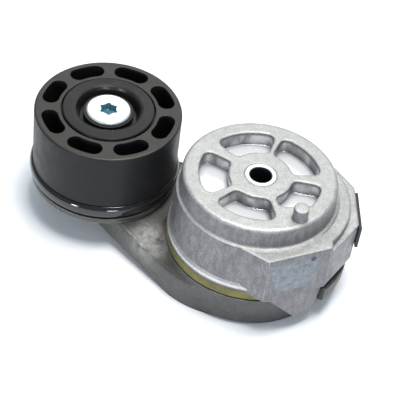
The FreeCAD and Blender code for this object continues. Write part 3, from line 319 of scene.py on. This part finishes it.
def case_marks_and_painted_light(cast, colour, height, pocket):
    """Add the painted highlight on the ridge, the frosted patch, the pit, painted highlights along
    the edges and painted shade in the corners.
    """
    # Painted highlight along the ridge.
    colour = cast.blend(cast.times(ridge_highlight_mask(cast, height), 0.7), colour, (0.80, 0.80, 0.80))
    frost = cast.blend(cast.step(cast.noise(300, 5, 0.7), 0.3, 0.7),
                       (0.150, 0.178, 0.205), (0.285, 0.315, 0.34))
    colour = cast.blend(cast.times(patch_mask(cast, height), 0.85), colour, frost)
    pit = cast.step(cast.away(PIT_CENTRE), 0.0019, 0.0010)
    colour = cast.blend(cast.times(pit, 0.8), colour, (0.03, 0.03, 0.04))
    # Painted highlights along the edges, where rounded edges would catch the light.
    colour = cast.blend(cast.times(cast.edges(0.0008), 0.45), colour, (0.80, 0.80, 0.80))
    # Painted shade in corners and gaps, in noisy patches, kept out of the pockets.
    painted_corner_shade = cast.times(cast.crevice(0.0022), cast.step(cast.noise(350, 4, 0.7), 0.36, 0.52))
    painted_corner_shade = cast.times(painted_corner_shade, cast.step(pocket, 0.0, 1.0, 0.85, 0.0))
    return cast.blend(painted_corner_shade, colour, (0.03, 0.03, 0.033))


def case_finish():
    """Die-cast aluminium: speckled top and glossy pockets, the top painted brighter and the sides
    duller, partly their own finish and partly painted light and shade, with drag marks down the
    sides.
    """
    cast = Finish("cast_case")
    height = cast.axis(cast.place(), "Z")
    top = cast.step(cast.facing((0, 0, 1)), 0.35, 0.85)
    pocket = pocket_mask(cast, height)
    colour = cast.blend(pocket, case_body_colour(cast, top), pocket_colour_and_light(cast, top))
    colour = case_marks_and_painted_light(cast, colour, height, pocket)
    grain = cast.step(cast.noise(1300, 4, 0.8), 0.34, 0.62, 0.72, 1.12)
    grain = cast.blend(pocket, grain, (1.0, 1.0, 1.0))
    cast.set("Base Color", cast.blend(1.0, colour, grain, "MULTIPLY"))
    inside_metal = cast.step(top, 0.0, 1.0, 0.85, 0.30)
    cast.set("Metallic", cast.blend(pocket, (0.55, 0.55, 0.55), inside_metal))
    rough = cast.step(cast.noise(190, 4), 0.3, 0.7, 0.34, 0.50)
    cast.set("Roughness", cast.times(rough, cast.step(pocket, 0.0, 1.0, 1.0, 0.55)))
    cast.relief([
        (cast.noise(1300, 4, 0.7), cast.step(pocket, 0.0, 1.0, 0.50, 0.05), 0.00030),
        (cast.noise(170, 4, 0.6), cast.step(pocket, 0.0, 1.0, 0.30, 0.10), 0.0011),
        (cast.noise(480, 2, 0.5, (1, 1, 0.14)), 0.08, 0.0003),
    ], cast.soft_normal(0.0016))
    return cast.material


def arm_finish():
    """Die-cast aluminium gone dark and warm, with a painted reflection on one spot of the deck,
    painted shade on the deck, the foot of the cup and the corners, and edges paler from wear and
    painted highlights.
    """
    cast = Finish("cast_arm")
    clouds = cast.noise(55, 5)
    up = cast.step(cast.facing((0, 0, 1)), 0.5, 0.9)
    side_colour = cast.blend(clouds, (0.082, 0.080, 0.079), (0.125, 0.122, 0.117))
    # Deck painted darker than the sides: painted shade, mostly the pulley's shadow.
    shaded_deck_colour = cast.blend(clouds, (0.058, 0.057, 0.052), (0.090, 0.088, 0.080))
    colour = cast.blend(up, side_colour, shaded_deck_colour)
    # A pale spot on the deck: painted reflection.
    deck_sheen = cast.times(cast.step(cast.away(DECK_SHEEN_CENTRE), 0.017, 0.004),
                        cast.step(cast.noise(220, 5, 0.65), 0.25, 0.60))
    colour = cast.blend(deck_sheen, colour, (0.34, 0.335, 0.32))
    # Edges lightened: partly wear, partly painted highlight.
    worn_and_highlit_edges = cast.times(cast.edges(0.0008), cast.step(cast.noise(240, 3), 0.32, 0.6, 0.15, 0.7))
    colour = cast.blend(worn_and_highlit_edges, colour, (0.42, 0.415, 0.39))
    # Foot of the cup painted darker towards the bottom: painted shade.
    cup = cast.step(cast.from_axis(), 0.0455, 0.0435)
    low = cast.step(cast.axis(cast.place(), "Z"), -0.046, -0.063)
    colour = cast.blend(cast.times(cast.times(cup, low), 0.5), colour, (0.035, 0.036, 0.042))
    # Painted shade in corners and gaps.
    colour = cast.blend(cast.times(cast.crevice(0.0035), 0.5), colour, (0.02, 0.02, 0.02))
    grain = cast.step(cast.noise(1300, 4, 0.8), 0.34, 0.62, 0.68, 1.14)
    cast.set("Base Color", cast.blend(1.0, colour, grain, "MULTIPLY"))
    cast.set("Metallic", 0.45)
    cast.set("Roughness", cast.step(cast.noise(170, 4), 0.3, 0.7, 0.42, 0.60))
    cast.relief([
        (cast.noise(1400, 4, 0.65), 0.50, 0.00028),
        (cast.noise(150, 4, 0.6), 0.28, 0.0012),
    ], cast.soft_normal(0.0012))
    return cast.material


# ---------------------------------------------------------------- turned and moulded pieces

def satin(name, low, high, rough, metallic=0.0, shine=0.5, edge=0.0003):
    """Smooth piece with faint clouds, handling marks and softened edges."""
    piece = Finish(name)
    piece.set("Base Color", piece.blend(piece.step(piece.noise(90, 4), 0.3, 0.7), low, high))
    piece.set("Metallic", metallic)
    piece.set("Specular IOR Level", shine)
    smears = piece.noise(260, 4, 0.6)
    piece.set("Roughness", piece.step(smears, 0.3, 0.7, rough - 0.05, rough + 0.05))
    piece.relief([(piece.noise(2600, 2), 0.05, 0.0001)], piece.soft_normal(edge))
    return piece.material


def bolt_finish():
    """Bright zinc plate, with the socket walls tinted blue."""
    zinc = Finish("zinc_bolt")
    colour = zinc.blend(zinc.noise(120, 4), (0.78, 0.79, 0.80), (0.88, 0.885, 0.89))
    axis_gap = zinc.away((PULLEY_X, 0, -0.0034))
    socket = zinc.times(zinc.step(axis_gap, 0.0056, 0.0050),
                        zinc.step(zinc.axis(zinc.place(), "Z"), -0.0011, -0.0015))
    tint = zinc.blend(zinc.noise(700, 2), (0.05, 0.20, 0.27), (0.30, 0.52, 0.60))
    zinc.set("Base Color", zinc.blend(socket, colour, tint))
    zinc.set("Metallic", 0.6)
    zinc.set("Roughness", zinc.step(zinc.noise(300, 4), 0.3, 0.7, 0.22, 0.34))
    zinc.relief([(zinc.noise(1800, 3), 0.08, 0.0001)], zinc.soft_normal(0.0004))
    return zinc.material


def sleeve_finish():
    """Turned steel end, with its bore painted near black as shade."""
    steel = Finish("sleeve_steel")
    clouds = steel.noise(200, 4)
    bright = steel.blend(clouds, (0.80, 0.80, 0.80), (0.90, 0.90, 0.91))
    # Inside the bore the colour is near black: painted shade.
    wall = steel.step(steel.from_axis(), 0.0056, 0.0059)
    steel.set("Base Color", steel.blend(wall, (0.012, 0.013, 0.016), bright))
    steel.set("Metallic", steel.times(wall, 0.75))
    steel.set("Roughness", steel.step(clouds, 0.3, 0.7, 0.26, 0.36))
    steel.relief([(steel.noise(1500, 3), 0.06, 0.0001)], steel.soft_normal(0.0003))
    return steel.material


def pulley_finish():
    """Dark moulded wheel: faint mould marks and belt polish round its side, with the face painted
    lighter than the side as lit from above.
    """
    wheel = Finish("pulley_plastic")
    top = wheel.step(wheel.facing((0, 0, 1)), 0.5, 0.9)
    # Face and side are the same dark plastic; the face is painted lighter for the light on it and the
    # side darker as shaded.
    shaded_side = wheel.blend(wheel.noise(45, 3), (0.008, 0.008, 0.009), (0.014, 0.014, 0.015))
    lit_face = wheel.blend(wheel.noise(60, 4), (0.027, 0.027, 0.021), (0.037, 0.036, 0.028))
    colour = wheel.blend(top, shaded_side, lit_face)
    grain = wheel.step(wheel.noise(3000, 2, 0.6), 0.35, 0.6, 0.88, 1.06)
    wheel.set("Base Color", wheel.blend(1.0, colour, grain, "MULTIPLY"))
    wheel.set("Roughness", wheel.step(wheel.noise(150, 4), 0.3, 0.7, 0.36, 0.48))
    wheel.set("Specular IOR Level", wheel.step(top, 0.0, 1.0, 0.22, 0.36))
    wheel.relief([
        (wheel.noise(2200, 2), 0.12, 0.00012),
        (wheel.noise(60, 2, 0.5, (0.2, 0.2, 1)), 0.05, 0.0006),
    ], wheel.soft_normal(0.0006))
    return wheel.material


def dress(node, material):
    """Give a CAD node one material."""
    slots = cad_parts[node].data.materials
    slots.clear()
    slots.append(material)


def dress_all():
    """Make every material and give each CAD node its own."""
    zinc = satin("zinc_plate", (0.78, 0.79, 0.80), (0.88, 0.89, 0.90), 0.25, 1.0)
    dark = satin("spring_steel", (0.07, 0.07, 0.075), (0.11, 0.11, 0.11), 0.38, 0.9)
    ground = satin("bearing_steel", (0.55, 0.55, 0.56), (0.65, 0.65, 0.66), 0.2, 1.0)
    cage = satin("cage_steel", (0.4, 0.4, 0.41), (0.5, 0.5, 0.5), 0.35, 1.0)
    rubber = satin("seal_rubber", (0.02, 0.02, 0.02), (0.03, 0.03, 0.03), 0.62)
    liner = satin("bushing_plastic", (0.09, 0.085, 0.08), (0.13, 0.12, 0.11), 0.45)
    finishes = {
        "spring_case": case_finish(),
        "tensioner_arm": arm_finish(),
        "pulley_bolt": bolt_finish(),
        "pulley": pulley_finish(),
        "pivot_end_washer": zinc,
        "pivot_sleeve": sleeve_finish(),
        "damper_ring": satin("damper_plastic", (0.100, 0.090, 0.026), (0.165, 0.146, 0.036), 0.50),
        "torsion_spring": dark,
        "bearing_snap_ring": dark,
        "spring_end_clip": satin("clip_steel", (0.010, 0.010, 0.010), (0.018, 0.018, 0.017), 0.42),
        "front_dust_shield": satin("front_shield_paint", (0.007, 0.0063, 0.0055),
                                   (0.012, 0.0105, 0.009), 0.32, shine=0.32),
        "rear_dust_shield": satin("rear_shield_paint", (0.005, 0.005, 0.005),
                                  (0.008, 0.008, 0.008), 0.10, shine=0.8),
        "bolt_washer": satin("washer_steel", (0.008, 0.008, 0.007),
                             (0.016, 0.015, 0.013), 0.42, shine=0.3),
        "bearing_inner_race": ground,
        "bearing_outer_race": ground,
        "front_ball_row": ground,
        "rear_ball_row": ground,
        "front_ball_cage": cage,
        "rear_ball_cage": cage,
        "front_bearing_seal": rubber,
        "rear_bearing_seal": rubber,
        "thrust_washer": liner,
        "upper_pivot_bushing": liner,
        "lower_pivot_bushing": liner,
        "spring_guide": liner,
    }
    for node, material in finishes.items():
        dress(node, material)


add_camera()
add_floor()
add_lights()
dress_all()
